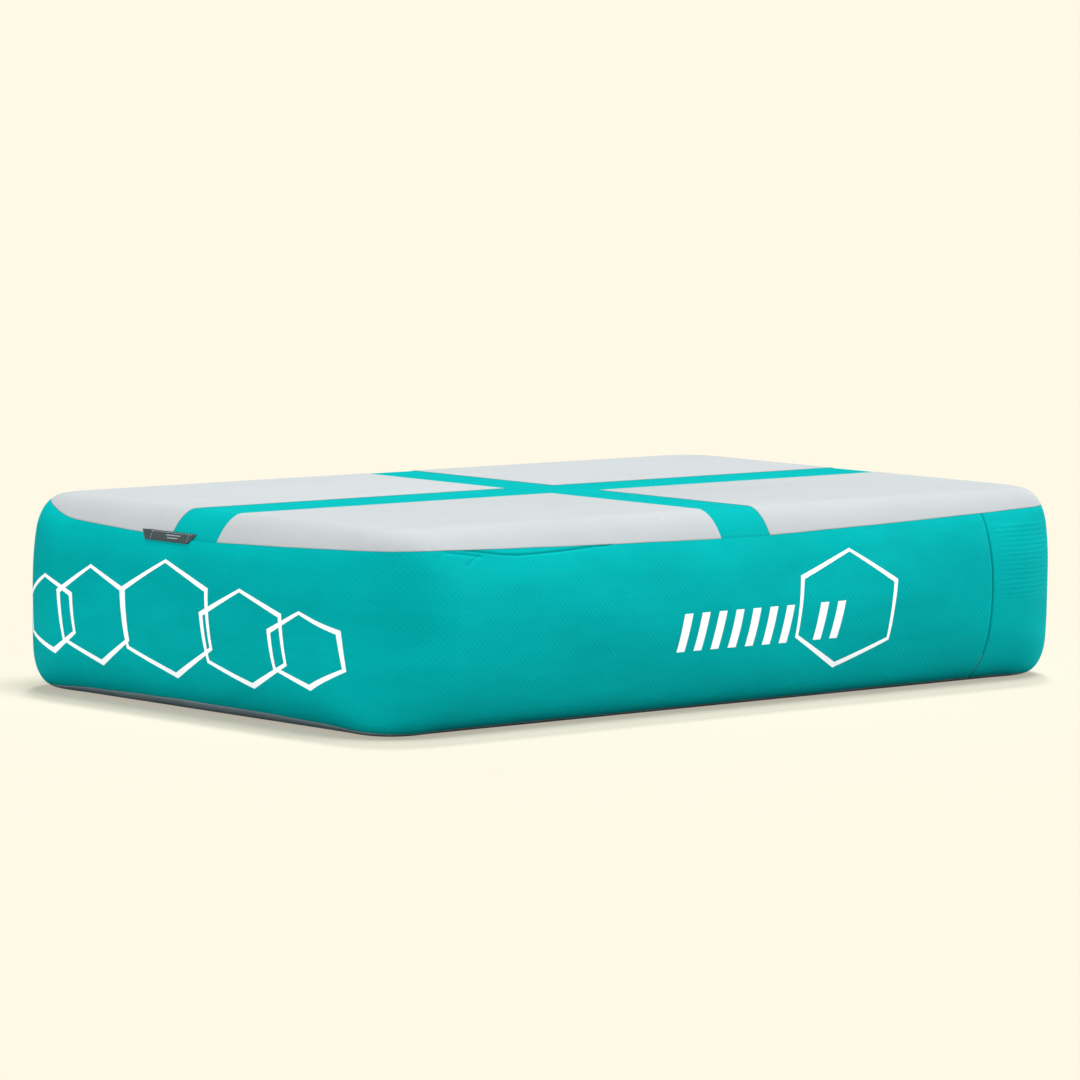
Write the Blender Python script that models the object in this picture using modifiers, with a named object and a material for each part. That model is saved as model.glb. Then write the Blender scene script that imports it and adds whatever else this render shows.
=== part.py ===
"""Inflatable tumbling block: a drop-stitch air mat with grey field pads and a spring valve.

The block lies flat, long side along X, with its underside on Z = 0 and the valve in the +X wall.
Every skin is a loft through the same wall section, taken at its own depth below the outer face.
"""
import math

import bmesh
import bpy
from mathutils import Vector

MM = 0.001
OBJECT_NAME = "air_track_block"

# Inflated envelope
LENGTH = 1000 * MM
WIDTH = 600 * MM
HEIGHT = 200 * MM
BULGE = 50 * MM
FLAT_CORNER_R = 52 * MM
SIDE_POWER = 2.0
CORNER_POWER = 3.2
CORNER_STEPS = 6

# Layers, measured as depth below the outer face
SKIN = 1.0 * MM
GAP = 0.3 * MM
UNDER_ONE = SKIN + GAP
UNDER_TWO = 2 * UNDER_ONE

# Heights of the rows that the skins are lofted through, each list from the top down
PAD_EDGE_Z = 178.5 * MM
BAND_TOP_Z = 175.0 * MM
BAND_BOTTOM_Z = 9.5 * MM
PAD_ROWS = [z * MM for z in (200, 199.2, 197, 193.5, 189, 184)] + [PAD_EDGE_Z]
BAND_UPPER_ROWS = [z * MM for z in (169, 160, 151)]
BAND_LOWER_ROWS = [z * MM for z in (44, 32, 22, 15)]
TOP_RIM_ROWS = [z * MM for z in (170, 160)]
RIM_STEP = 1.4 * MM
BOTTOM_RIM_ROWS = [z * MM for z in (28, 18, 12, 8.5)]
BOTTOM_TURN_ROWS = [z * MM for z in (7.5, 4.5, 2, 0.6, 0)]

# Cross of bare top sheet between the four pads
STRIPE = 70 * MM

# Overlap seams of the two wall bands
SEAM_X = 350 * MM
LAP = 24 * MM
STEP_START = 2.5 * MM
STEP_END = 6.0 * MM

# Flat seat that the valve holds in the wall
SEAT_HALF = 42 * MM
SEAT_BLEND_Y = 75 * MM
WALL_HOLE_R = 23 * MM

# Drop-stitch core
CORE_MARGIN = 2 * MM
THREAD_PITCH = 64 * MM
THREAD_COLUMNS = 14
THREAD_ROWS = 8
THREAD_SIDE = 1.4 * MM
SQUARE = ((-1, -1), (1, -1), (1, 1), (-1, 1))

# Label on the top edge of the -X wall
TAG_Y = (-6 * MM, 78 * MM)
TAG_ROWS = [z * MM for z in (180.5, 176.5, 172, 167.5)]
TAG_THICKNESS = 0.8 * MM

# Valve, heights along its axis above the wall's outer face
PATCH_R = 38 * MM
PATCH_THICKNESS = 0.8 * MM
WALL_CUT_DEPTH = 20 * MM
GASKET_R = 31 * MM
GASKET_THICKNESS = 1.5 * MM
NECK_R = 21.5 * MM
NECK_TOP = 5.0 * MM
BARREL_R = 20 * MM
BARREL_BORE_R = 17.5 * MM
FLANGE_R = 32 * MM
FLANGE_THICKNESS = 3 * MM
SEAT_RING_R = 11 * MM
SEAT_BOTTOM = -33 * MM
SEAT_TOP = -30 * MM
HUB_R = 4.5 * MM
HUB_TOP = -27 * MM
SPOKE_COUNT = 4
SPOKE_WIDTH = 2 * MM
SPOKE_TOP = -29.5 * MM
SPOKE_OVERLAP = 1 * MM
COLLAR_R = 31 * MM
COLLAR_THICKNESS = 3.6 * MM
COLLAR_CHAMFER = 1.2 * MM
STEM_R = 2.0 * MM
STEM_HEAD_R = 3.4 * MM
STEM_HEAD_THICKNESS = 1.6 * MM
BUTTON_R = 6.5 * MM
BUTTON_TOP = -6.8 * MM
BUTTON_HEIGHT = 3.6 * MM
BUTTON_BAR = 2.2 * MM
BUTTON_BAR_SHARE = 0.8
POPPET_R = 14.5 * MM
POPPET_THICKNESS = 2.2 * MM
POPPET_BOSS_R = 3.6 * MM
SEAL_INNER_R = 11.3 * MM
SEAL_THICKNESS = 1.2 * MM
SPRING_TURNS = 5
SPRING_R = 4.3 * MM
SPRING_WIRE_R = 0.45 * MM
SPRING_POINTS_PER_TURN = 12
CAP_R = 27 * MM
CAP_BOTTOM = 5.7 * MM
CAP_TOP = 9.7 * MM
CAP_PLUG_R = 16.9 * MM
CAP_CUP_R = 13.2 * MM
CAP_PLUG_BOTTOM = -5.0 * MM
CAP_CUP_TOP = 6.2 * MM
CAP_CHAMFER = 1.2 * MM
GRIP_SIZE = Vector((36, 8, 4.6)) * MM
GRIP_SINK = 0.5 * MM
GRIP_BEVEL = 1.2 * MM
GROOVE_R = 15.3 * MM
GROOVE_HALF = 1.1 * MM
RING_MAJOR_R = 16.4 * MM
RING_MINOR_R = 0.8 * MM
RING_Z = -1.6 * MM
RING_SIDES = 10
TURN_STEPS = 32

FLAT_HALF_L = LENGTH / 2 - BULGE
FLAT_HALF_W = WIDTH / 2 - BULGE
MERGE = 0.05 * MM
TINY = 0.01 * MM

# Name, side along X and side along Y of each quarter pad
PAD_PLACES = (
    ("field_pad_front_left", -1, -1),
    ("field_pad_front_right", 1, -1),
    ("field_pad_back_left", -1, 1),
    ("field_pad_back_right", 1, 1),
)


# ---------- scene and materials ----------

def clear_scene():
    for item in list(bpy.data.objects):
        bpy.data.objects.remove(item, do_unlink=True)


def new_collection(name):
    collection = bpy.data.collections.new(name)
    bpy.context.scene.collection.children.link(collection)
    return collection


def material(name, colour, roughness, metallic=0.0):
    mat = bpy.data.materials.new(name)
    mat.use_nodes = True
    shader = mat.node_tree.nodes["Principled BSDF"]
    shader.inputs["Base Color"].default_value = (*colour, 1.0)
    shader.inputs["Roughness"].default_value = roughness
    shader.inputs["Metallic"].default_value = metallic
    return mat


def add_object(name, data, collection, mat=None):
    item = bpy.data.objects.new(name, data)
    collection.objects.link(item)
    if mat is not None:
        data.materials.append(mat)
    return item


def as_cutter(item):
    item.hide_render = True
    item.display_type = "WIRE"
    return item


def boolean(target, tool, operation):
    modifier = target.modifiers.new(tool.name, "BOOLEAN")
    modifier.operation = operation
    modifier.solver = "EXACT"
    modifier.object = tool


def shade(mesh, angle=35):
    mesh.shade_smooth()
    mesh.set_sharp_from_angle(angle=math.radians(angle))


# ---------- the wall's section and plan ----------

def level(z):
    return 2 * z / HEIGHT - 1


def reach(z, corner):
    """How far the wall stands out from the flat outline at height z; corner runs from 0 to 1."""
    t = abs(level(z))
    side = BULGE * max(0.0, 1 - t ** SIDE_POWER) ** (1 / SIDE_POWER)
    bend = BULGE * max(0.0, 1 - t ** CORNER_POWER) ** (1 / CORNER_POWER)
    return side * (1 - corner) + bend * corner


def lean(z, power):
    """Change of the wall's reach with height, for one superellipse power."""
    t = abs(level(z))
    steep = t ** (power - 1) * (1 - t ** power) ** (1 / power - 1)
    return -math.copysign(steep, level(z)) * BULGE * 2 / HEIGHT


def wall_normal(z, corner):
    """Outward and upward parts of the wall's normal at height z."""
    if abs(level(z)) > 1 - 1e-9:
        return 0.0, math.copysign(1.0, level(z))
    slope = lean(z, SIDE_POWER) * (1 - corner) + lean(z, CORNER_POWER) * corner
    size = math.hypot(1.0, slope)
    return 1.0 / size, -slope / size


def wall_point(plan, z, depth):
    x, y, nx, ny, corner = plan
    out, up = wall_normal(z, corner)
    stand = reach(z, corner) - depth * out
    point = Vector((x + nx * stand, y + ny * stand, z - depth * up))
    if on_valve_seat(plan, z):
        point = Vector((seat_x() - depth, y, z))
    return point


def seat_x():
    return FLAT_HALF_L + reach(HEIGHT / 2 - SEAT_HALF, 0.0)


def on_valve_seat(plan, z):
    x, y, nx, ny, corner = plan
    on_wall = nx > 0.999 and abs(y) <= SEAT_HALF + TINY
    return on_wall and abs(z - HEIGHT / 2) <= SEAT_HALF + TINY


def corner_plan(sx, sy):
    """Plan samples round one corner, anticlockwise from above."""
    start = {(1, -1): -90, (1, 1): 0, (-1, 1): 90, (-1, -1): 180}[sx, sy]
    samples = []
    for i in range(CORNER_STEPS + 1):
        turn = 90 * i / CORNER_STEPS
        angle = math.radians(start + turn)
        nx, ny = math.cos(angle), math.sin(angle)
        x = sx * (FLAT_HALF_L - FLAT_CORNER_R) + FLAT_CORNER_R * nx
        y = sy * (FLAT_HALF_W - FLAT_CORNER_R) + FLAT_CORNER_R * ny
        samples.append((x, y, nx, ny, math.sin(math.radians(2 * turn))))
    return samples


def long_side(sy, xs):
    return [(x, sy * FLAT_HALF_W, 0.0, float(sy), 0.0) for x in xs]


def short_side(sx, ys):
    return [(sx * FLAT_HALF_L, y, float(sx), 0.0, 0.0) for y in ys]


def full_loop():
    corners = [(1, -1), (1, 1), (-1, 1), (-1, -1)]
    return [sample for c in corners for sample in corner_plan(*c)]


# ---------- lofted skins ----------

def loft_rows(bm, rows, closed):
    """Quads between rows of points that run from the top down, anticlockwise from above."""
    grid = [[bm.verts.new(p) for p in row] for row in rows]
    count = len(grid[0])
    last = count if closed else count - 1
    for upper, lower in zip(grid, grid[1:]):
        for i in range(last):
            j = (i + 1) % count
            bm.faces.new((upper[i], lower[i], lower[j], upper[j]))
    return grid


def skin_object(name, bm, thickness, collection, mat):
    mesh = bpy.data.meshes.new(name)
    bm.normal_update()
    bm.to_mesh(mesh)
    bm.free()
    item = add_object(name, mesh, collection, mat)
    solid = item.modifiers.new("thickness", "SOLIDIFY")
    solid.thickness = thickness
    solid.offset = -1.0
    solid.use_rim = True
    shade(mesh)
    return item


def top_sheet(collection, mat):
    """Full top skin: flat under the pads, with a rim that dips under the wall bands."""
    levels = [(z, UNDER_ONE) for z in PAD_ROWS]
    step = PAD_EDGE_Z - RIM_STEP
    levels += [(step, UNDER_ONE), (step - RIM_STEP, UNDER_TWO)]
    levels += [(z, UNDER_TWO) for z in TOP_RIM_ROWS]
    bm = bmesh.new()
    grid = loft_rows(bm, [[wall_point(s, z, d) for s in full_loop()] for z, d in levels], True)
    bm.faces.new(grid[0])
    return skin_object("top_sheet", bm, SKIN, collection, mat)


def bottom_sheet(collection, mat):
    """Full underside skin, flat on the floor, with a rim that dips under the wall bands."""
    levels = [(z, UNDER_TWO) for z in BOTTOM_RIM_ROWS]
    levels += [(z, 0.0) for z in BOTTOM_TURN_ROWS]
    bm = bmesh.new()
    grid = loft_rows(bm, [[wall_point(s, z, d) for s in full_loop()] for z, d in levels], True)
    bm.faces.new(list(reversed(grid[-1])))
    return skin_object("bottom_sheet", bm, SKIN, collection, mat)


def field_pad(name, sx, sy, collection, mat):
    """One quarter pad: a flat field whose outer edges turn down over the rounded top edge."""
    half = STRIPE / 2
    along_y = short_side(sx, [sy * half])
    along_x = long_side(sy, [sx * half])
    first, last = (along_x, along_y) if sx * sy < 0 else (along_y, along_x)
    plan = first + corner_plan(sx, sy) + last
    bm = bmesh.new()
    grid = loft_rows(bm, [[wall_point(s, z, 0.0) for s in plan] for z in PAD_ROWS], False)
    inner = bm.verts.new((sx * half, sy * half, HEIGHT))
    bm.faces.new([inner] + grid[0])
    return skin_object(name, bm, SKIN, collection, mat)


def band_plan(turn):
    """Plan samples and depths of one wall band; turn is 1 for the +X band and -1 for the other."""
    under = [SEAM_X - LAP, SEAM_X + STEP_START]
    lap = [(s, UNDER_ONE) for s in long_side(-turn, [turn * x for x in under])]
    run = long_side(-turn, [turn * (SEAM_X + STEP_END)])
    run += corner_plan(turn, -turn)
    ys = [-SEAT_BLEND_Y, -SEAT_HALF, 0.0, SEAT_HALF, SEAT_BLEND_Y]
    run += short_side(turn, [turn * y for y in ys])
    run += corner_plan(turn, turn)
    run += long_side(turn, [-turn * SEAM_X])
    return lap + [(s, 0.0) for s in run]


def side_band(name, turn, collection, mat):
    """Wall band over half the way round; its far end laps over the other band's start."""
    seat_rows = [HEIGHT / 2 + SEAT_HALF * share for share in (1, 0.5, 0, -0.5, -1)]
    heights = [BAND_TOP_Z] + BAND_UPPER_ROWS + seat_rows + BAND_LOWER_ROWS + [BAND_BOTTOM_Z]
    bm = bmesh.new()
    rows = [[wall_point(s, z, d) for s, d in band_plan(turn)] for z in heights]
    loft_rows(bm, rows, False)
    return skin_object(name, bm, SKIN, collection, mat)


def edge_tag(collection, mat):
    """Folded webbing label that lies over the pad edge, on the -X wall."""
    plan = short_side(-1, sorted(TAG_Y, reverse=True))
    proud = -(GAP + TAG_THICKNESS)
    bm = bmesh.new()
    loft_rows(bm, [[wall_point(s, z, proud) for s in plan] for z in TAG_ROWS], False)
    return skin_object("edge_tag", bm, TAG_THICKNESS, collection, mat)


# ---------- drop-stitch core ----------

def cloth_outline():
    """Outline of the two woven cloths, a little inside the flat part of the block."""
    points = []
    for x, y, nx, ny, corner in full_loop():
        points.append(Vector((x - nx * CORE_MARGIN, y - ny * CORE_MARGIN)))
    return points


def add_prism(bm, outline, low, high):
    base = [bm.verts.new((p.x, p.y, low)) for p in outline]
    roof = [bm.verts.new((p.x, p.y, high)) for p in outline]
    count = len(outline)
    for i in range(count):
        j = (i + 1) % count
        bm.faces.new((base[i], base[j], roof[j], roof[i]))
    bm.faces.new(roof)
    bm.faces.new(list(reversed(base)))


def drop_stitch_core(collection, cutters, mat):
    """Two woven cloths held parallel by a grid of threads, all one weave."""
    outline = cloth_outline()
    low = UNDER_ONE
    high = HEIGHT - UNDER_TWO
    bm = bmesh.new()
    add_prism(bm, outline, low, low + SKIN)
    add_prism(bm, outline, high - SKIN, high)
    mesh = bpy.data.meshes.new("drop_stitch_core")
    bm.to_mesh(mesh)
    bm.free()
    core = add_object("drop_stitch_core", mesh, collection, mat)
    threads = thread_grid(cutters, low + SKIN / 2, high - SKIN / 2)
    boolean(core, threads, "UNION")
    return core


def thread_grid(cutters, low, high):
    """The threads, as thin square posts that end inside the two cloths."""
    half = THREAD_SIDE / 2
    bm = bmesh.new()
    for i in range(THREAD_COLUMNS):
        for j in range(THREAD_ROWS):
            x = (i - (THREAD_COLUMNS - 1) / 2) * THREAD_PITCH
            y = (j - (THREAD_ROWS - 1) / 2) * THREAD_PITCH
            square = [Vector((x + a * half, y + b * half)) for a, b in SQUARE]
            add_prism(bm, square, low, high)
    mesh = bpy.data.meshes.new("threads")
    bm.to_mesh(mesh)
    bm.free()
    return as_cutter(add_object("threads", mesh, cutters))


# ---------- valve ----------

def valve_axis(collection):
    """Empty on the valve's axis: its +Z points out of the wall, with 0 on the wall's face."""
    axis = bpy.data.objects.new("valve_axis", None)
    collection.objects.link(axis)
    axis.location = (seat_x(), 0, HEIGHT / 2)
    axis.rotation_euler = (0, math.pi / 2, 0)
    return axis


def turned(name, profile, collection, axis, mat=None, closed=True):
    """Solid of revolution; the profile runs down its outer side first."""
    mesh = bpy.data.meshes.new(name)
    edges = [(i, i + 1) for i in range(len(profile) - 1)]
    if closed:
        edges.append((len(profile) - 1, 0))
    mesh.from_pydata([(r, 0, z) for r, z in profile], edges, [])
    item = add_object(name, mesh, collection, mat)
    screw = item.modifiers.new("turn", "SCREW")
    screw.steps = TURN_STEPS
    screw.render_steps = TURN_STEPS
    screw.use_merge_vertices = True
    screw.merge_threshold = MERGE
    screw.use_smooth_shade = True
    item.parent = axis
    return item


def ring_profile(inner, outer, low, high, chamfer=0.0):
    """Section of a flat ring, with its outer top edge cut off by the chamfer."""
    c = chamfer
    if not c:
        return [(outer, high), (outer, low), (inner, low), (inner, high)]
    return [(outer - c, high), (outer, high - c), (outer, low), (inner, low), (inner, high)]


def block(name, size, centre, collection, axis, turn=0.0, bevel=0.0):
    """Box on the valve's axes, turned about them and with rounded edges where bevel is given."""
    bm = bmesh.new()
    bmesh.ops.create_cube(bm, size=1.0)
    bmesh.ops.scale(bm, vec=size, verts=bm.verts)
    mesh = bpy.data.meshes.new(name)
    bm.to_mesh(mesh)
    bm.free()
    item = add_object(name, mesh, collection)
    item.parent = axis
    item.location = centre
    item.rotation_euler = (0, 0, turn)
    if bevel:
        edge = item.modifiers.new("edges", "BEVEL")
        edge.width = bevel
        edge.segments = 2
    return item


def cut_wall(band, cutters, axis):
    """Round hole for the valve, through the wall band."""
    deep = WALL_CUT_DEPTH
    profile = [(0, deep), (WALL_HOLE_R, deep), (WALL_HOLE_R, -deep), (0, -deep)]
    hole = turned("wall_hole", profile, cutters, axis, closed=False)
    boolean(band, as_cutter(hole), "DIFFERENCE")


def valve_patch(collection, axis, mat):
    profile = ring_profile(WALL_HOLE_R, PATCH_R, GAP, GAP + PATCH_THICKNESS)
    return turned("valve_patch", profile, collection, axis, mat)


def valve_gasket(collection, axis, mat):
    high = -SKIN - GAP
    profile = ring_profile(WALL_HOLE_R, GASKET_R, high - GASKET_THICKNESS, high)
    return turned("valve_gasket", profile, collection, axis, mat)


def valve_housing(collection, cutters, axis, mat):
    """Moulded barrel with a clamp flange, a poppet seat and a spoked guide for the stem."""
    flange_top = -SKIN - 2 * GAP - GASKET_THICKNESS
    flange_low = flange_top - FLANGE_THICKNESS
    profile = [(NECK_R, NECK_TOP), (NECK_R, flange_top), (FLANGE_R, flange_top)]
    profile += [(FLANGE_R, flange_low), (BARREL_R, flange_low), (BARREL_R, SEAT_BOTTOM)]
    profile += [(SEAT_RING_R, SEAT_BOTTOM), (SEAT_RING_R, SEAT_TOP)]
    profile += [(BARREL_BORE_R, SEAT_TOP), (BARREL_BORE_R, NECK_TOP)]
    housing = turned("valve_housing", profile, collection, axis, mat)
    hub = ring_profile(STEM_R + GAP, HUB_R, SEAT_BOTTOM, HUB_TOP)
    guide = as_cutter(turned("stem_guide", hub, cutters, axis))
    length = SEAT_RING_R - HUB_R + 2 * SPOKE_OVERLAP
    height = SPOKE_TOP - SEAT_BOTTOM
    middle = (SEAT_RING_R + HUB_R) / 2
    for i in range(SPOKE_COUNT):
        angle = 2 * math.pi * i / SPOKE_COUNT
        place = (middle * math.cos(angle), middle * math.sin(angle), SEAT_BOTTOM + height / 2)
        size = Vector((length, SPOKE_WIDTH, height - 2 * GAP))
        spoke = block(f"spoke_{i}", size, place, cutters, axis, turn=angle)
        boolean(housing, as_cutter(spoke), "UNION")
    boolean(housing, guide, "UNION")
    return housing


def valve_collar(collection, axis, mat):
    low = PATCH_THICKNESS + 2 * GAP
    top = low + COLLAR_THICKNESS
    profile = ring_profile(NECK_R + GAP, COLLAR_R, low, top, COLLAR_CHAMFER)
    return turned("valve_collar", profile, collection, axis, mat)


def poppet_pieces(collection, axis, stem_mat, poppet_mat, seal_mat):
    """Stem, disc and seal ring that slide as one against the housing's seat."""
    seal_top = SEAT_BOTTOM - GAP
    seal_low = seal_top - SEAL_THICKNESS
    seal = ring_profile(SEAL_INNER_R, POPPET_R, seal_low, seal_top)
    turned("poppet_seal", seal, collection, axis, seal_mat)
    disc_top = seal_low - GAP
    disc_low = disc_top - POPPET_THICKNESS
    disc = ring_profile(STEM_R + GAP, POPPET_R, disc_low, disc_top)
    turned("valve_poppet", disc, collection, axis, poppet_mat)
    head_low = BUTTON_TOP - BUTTON_HEIGHT - GAP - STEM_HEAD_THICKNESS
    head_top = head_low + STEM_HEAD_THICKNESS
    foot = disc_low - GAP
    tail = foot - STEM_HEAD_THICKNESS
    profile = [(0, head_top), (BUTTON_R, head_top), (BUTTON_R, head_low), (STEM_R, head_low)]
    profile += [(STEM_R, foot), (STEM_HEAD_R, foot), (STEM_HEAD_R, tail), (0, tail)]
    turned("poppet_stem", profile, collection, axis, stem_mat, closed=False)
    return head_low


def push_button(collection, cutters, axis, mat):
    """Round button with a bar across it, to press the valve open and turn it to lock."""
    low = BUTTON_TOP - BUTTON_HEIGHT
    deck = BUTTON_TOP - BUTTON_HEIGHT / 2
    profile = [(0, deck), (BUTTON_R, deck), (BUTTON_R, low), (0, low)]
    button = turned("push_button", profile, collection, axis, mat, closed=False)
    size = Vector((2 * BUTTON_R - 2 * BUTTON_BAR, BUTTON_BAR, BUTTON_HEIGHT * BUTTON_BAR_SHARE))
    centre = (0, 0, BUTTON_TOP - size.z / 2)
    bar = block("button_bar", size, centre, cutters, axis)
    boolean(button, as_cutter(bar), "UNION")
    return button


def valve_spring(collection, axis, low, high, mat):
    """Coil spring round the stem, between the guide's hub and the stem's head."""
    start = low + GAP + SPRING_WIRE_R
    end = high - GAP - SPRING_WIRE_R
    count = SPRING_TURNS * SPRING_POINTS_PER_TURN + 1
    curve = bpy.data.curves.new("valve_spring", "CURVE")
    curve.dimensions = "3D"
    curve.bevel_depth = SPRING_WIRE_R
    curve.bevel_resolution = 2
    curve.use_fill_caps = True
    spline = curve.splines.new("POLY")
    spline.points.add(count - 1)
    for i, point in enumerate(spline.points):
        part = i / (count - 1)
        angle = 2 * math.pi * SPRING_TURNS * part
        z = start + (end - start) * part
        point.co = (SPRING_R * math.cos(angle), SPRING_R * math.sin(angle), z, 1)
    spring = add_object("valve_spring", curve, collection, mat)
    spring.parent = axis
    return spring


def valve_cap(collection, cutters, axis, mat):
    """Cap with a hollow plug, a groove for its seal ring and a bar to turn it by."""
    profile = [(0, CAP_TOP), (CAP_R - CAP_CHAMFER, CAP_TOP), (CAP_R, CAP_TOP - CAP_CHAMFER)]
    profile += [(CAP_R, CAP_BOTTOM), (CAP_PLUG_R, CAP_BOTTOM)]
    profile += [(CAP_PLUG_R, RING_Z + GROOVE_HALF), (GROOVE_R, RING_Z + GROOVE_HALF)]
    profile += [(GROOVE_R, RING_Z - GROOVE_HALF), (CAP_PLUG_R, RING_Z - GROOVE_HALF)]
    profile += [(CAP_PLUG_R, CAP_PLUG_BOTTOM), (CAP_CUP_R, CAP_PLUG_BOTTOM)]
    profile += [(CAP_CUP_R, CAP_CUP_TOP), (0, CAP_CUP_TOP)]
    cap = turned("valve_cap", profile, collection, axis, mat, closed=False)
    centre = (0, 0, CAP_TOP + GRIP_SIZE.z / 2 - GRIP_SINK)
    grip = block("cap_grip", GRIP_SIZE, centre, cutters, axis, bevel=GRIP_BEVEL)
    boolean(cap, as_cutter(grip), "UNION")
    return cap


def cap_seal(collection, axis, mat):
    """Round sealing ring in the groove of the cap's plug."""
    profile = []
    for i in range(RING_SIDES):
        angle = 2 * math.pi * (0.25 - i / RING_SIDES)
        r = RING_MAJOR_R + RING_MINOR_R * math.cos(angle)
        profile.append((r, RING_Z + RING_MINOR_R * math.sin(angle)))
    return turned("cap_seal", profile, collection, axis, mat)


# ---------- assembly ----------

def build():
    clear_scene()
    parts = new_collection(OBJECT_NAME)
    cutters = new_collection("cutters")
    pvc_teal = material("pvc_teal", (0.005, 0.42, 0.40), 0.45)
    pvc_teal_top = material("pvc_teal_top", (0.01, 0.52, 0.50), 0.45)
    pvc_grey = material("pvc_grey", (0.66, 0.70, 0.72), 0.55)
    pvc_dark = material("pvc_dark", (0.10, 0.12, 0.13), 0.6)
    webbing = material("webbing", (0.07, 0.09, 0.10), 0.8)
    yarn = material("yarn", (0.80, 0.80, 0.78), 0.9)
    moulded = material("moulded_plastic", (0.03, 0.035, 0.04), 0.4)
    button_plastic = material("button_plastic", (0.55, 0.58, 0.60), 0.4)
    rubber = material("seal_rubber", (0.02, 0.02, 0.02), 0.7)
    steel = material("spring_steel", (0.62, 0.62, 0.60), 0.3, 1.0)

    drop_stitch_core(parts, cutters, yarn)
    top_sheet(parts, pvc_teal_top)
    bottom_sheet(parts, pvc_dark)
    for name, sx, sy in PAD_PLACES:
        field_pad(name, sx, sy, parts, pvc_grey)
    side_band("side_band_left", -1, parts, pvc_teal)
    right_band = side_band("side_band_right", 1, parts, pvc_teal)
    edge_tag(parts, webbing)

    axis = valve_axis(parts)
    cut_wall(right_band, cutters, axis)
    valve_patch(parts, axis, pvc_teal)
    valve_gasket(parts, axis, rubber)
    valve_housing(parts, cutters, axis, moulded)
    valve_collar(parts, axis, moulded)
    head_low = poppet_pieces(parts, axis, moulded, moulded, rubber)
    push_button(parts, cutters, axis, button_plastic)
    valve_spring(parts, axis, HUB_TOP, head_low, steel)
    valve_cap(parts, cutters, axis, moulded)
    cap_seal(parts, axis, rubber)


build()
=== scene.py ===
"""Looks of the inflatable tumbling block: coated skins, field pads, prints, label and valve."""
import math

import bmesh
import bpy
import numpy as np
from mathutils import Matrix, Vector


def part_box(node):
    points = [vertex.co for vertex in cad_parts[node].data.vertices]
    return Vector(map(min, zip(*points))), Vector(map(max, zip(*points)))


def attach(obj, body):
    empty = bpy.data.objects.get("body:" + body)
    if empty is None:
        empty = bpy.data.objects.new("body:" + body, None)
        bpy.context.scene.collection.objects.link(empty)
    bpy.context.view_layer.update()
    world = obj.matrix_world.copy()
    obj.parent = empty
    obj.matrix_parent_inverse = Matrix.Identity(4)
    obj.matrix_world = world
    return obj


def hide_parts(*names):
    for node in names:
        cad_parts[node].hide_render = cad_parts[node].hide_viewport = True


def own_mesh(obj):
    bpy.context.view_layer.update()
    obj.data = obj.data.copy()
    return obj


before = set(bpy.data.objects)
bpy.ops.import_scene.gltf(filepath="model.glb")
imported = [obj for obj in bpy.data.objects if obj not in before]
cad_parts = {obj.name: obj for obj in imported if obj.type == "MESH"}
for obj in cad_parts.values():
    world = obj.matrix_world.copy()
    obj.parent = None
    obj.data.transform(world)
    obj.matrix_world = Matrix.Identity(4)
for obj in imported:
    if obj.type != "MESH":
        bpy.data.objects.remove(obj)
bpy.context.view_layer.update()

SCENE = bpy.context.scene
MM = 0.001

# ---------- the block's measures, in metres ----------

HALF_L = -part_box("side_band_left")[0].x
HALF_W = -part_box("side_band_left")[0].y
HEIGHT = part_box("field_pad_front_left")[1].z
STRIPE = 2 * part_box("field_pad_front_right")[0].x
SEAM_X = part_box("side_band_left")[1].x
BULGE = 50 * MM
CORNER_R = 52 * MM
# Powers of the wall's rounding, for its upper half and for its fuller lower half
SIDE_POWERS = (2.0, 2.15)
CORNER_POWERS = (3.2, 3.9)
CORNER_REACH = 35 * MM
FLAT_L = HALF_L - BULGE
FLAT_W = HALF_W - BULGE
RUN_X = FLAT_L - CORNER_R
RUN_Y = FLAT_W - CORNER_R
CORNER_RUN = math.pi / 2 * (CORNER_R + CORNER_REACH)
LOOP = 4 * (RUN_X + RUN_Y + CORNER_RUN)

# Places along the loop, which runs anticlockwise from the left end of the front wall
FRONT_MID = RUN_X
RIGHT_MID = 2 * RUN_X + CORNER_RUN + RUN_Y
BACK_MID = 3 * RUN_X + 2 * CORNER_RUN + 2 * RUN_Y
LEFT_MID = 4 * RUN_X + 3 * CORNER_RUN + 3 * RUN_Y
BACK_LEFT_CORNER = LEFT_MID - RUN_Y - CORNER_RUN / 2
FRONT_SEAM = FRONT_MID + SEAM_X
BACK_SEAM = BACK_MID + SEAM_X

# Layers, as depth below the outer face
SKIN = 0.9 * MM
PAD_THICKNESS = 0.45 * MM
TOP_DEPTH = 0.55 * MM
UNDER_BAND = 1.25 * MM
LAP = 24 * MM

# Edges of the skins on the wall
PAD_EDGE_Z = 172.3 * MM
PAD_EDGE_RISE = 9 * MM
PAD_CORNER_RISE = 12 * MM
PAD_EDGE_GAP = 0.4 * MM
BAND_FOOT_Z = 4.5 * MM
BAND_FOOT_RISE = 6.5 * MM
TOP_RIM_Z = 158 * MM
FOOT_RIM_Z = 30 * MM

# The wall's flat seat round the valve, and the hole in it
SEAT_HALF = 42 * MM
SEAT_FULL = SEAT_HALF - 2 * MM
SEAT_BLEND = 80 * MM
SEAT_SOFT = 1.2 * MM
FACING = 0.9
SEAT_X = FLAT_L + BULGE * (1 - (2 * SEAT_HALF / HEIGHT) ** 2) ** 0.5
WALL_HOLE_R = 23 * MM

CREAM = (1.0, 0.947, 0.791)
WHITE = (1, 1, 1, 1)


# ---------- camera, lights and floor ----------

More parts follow.
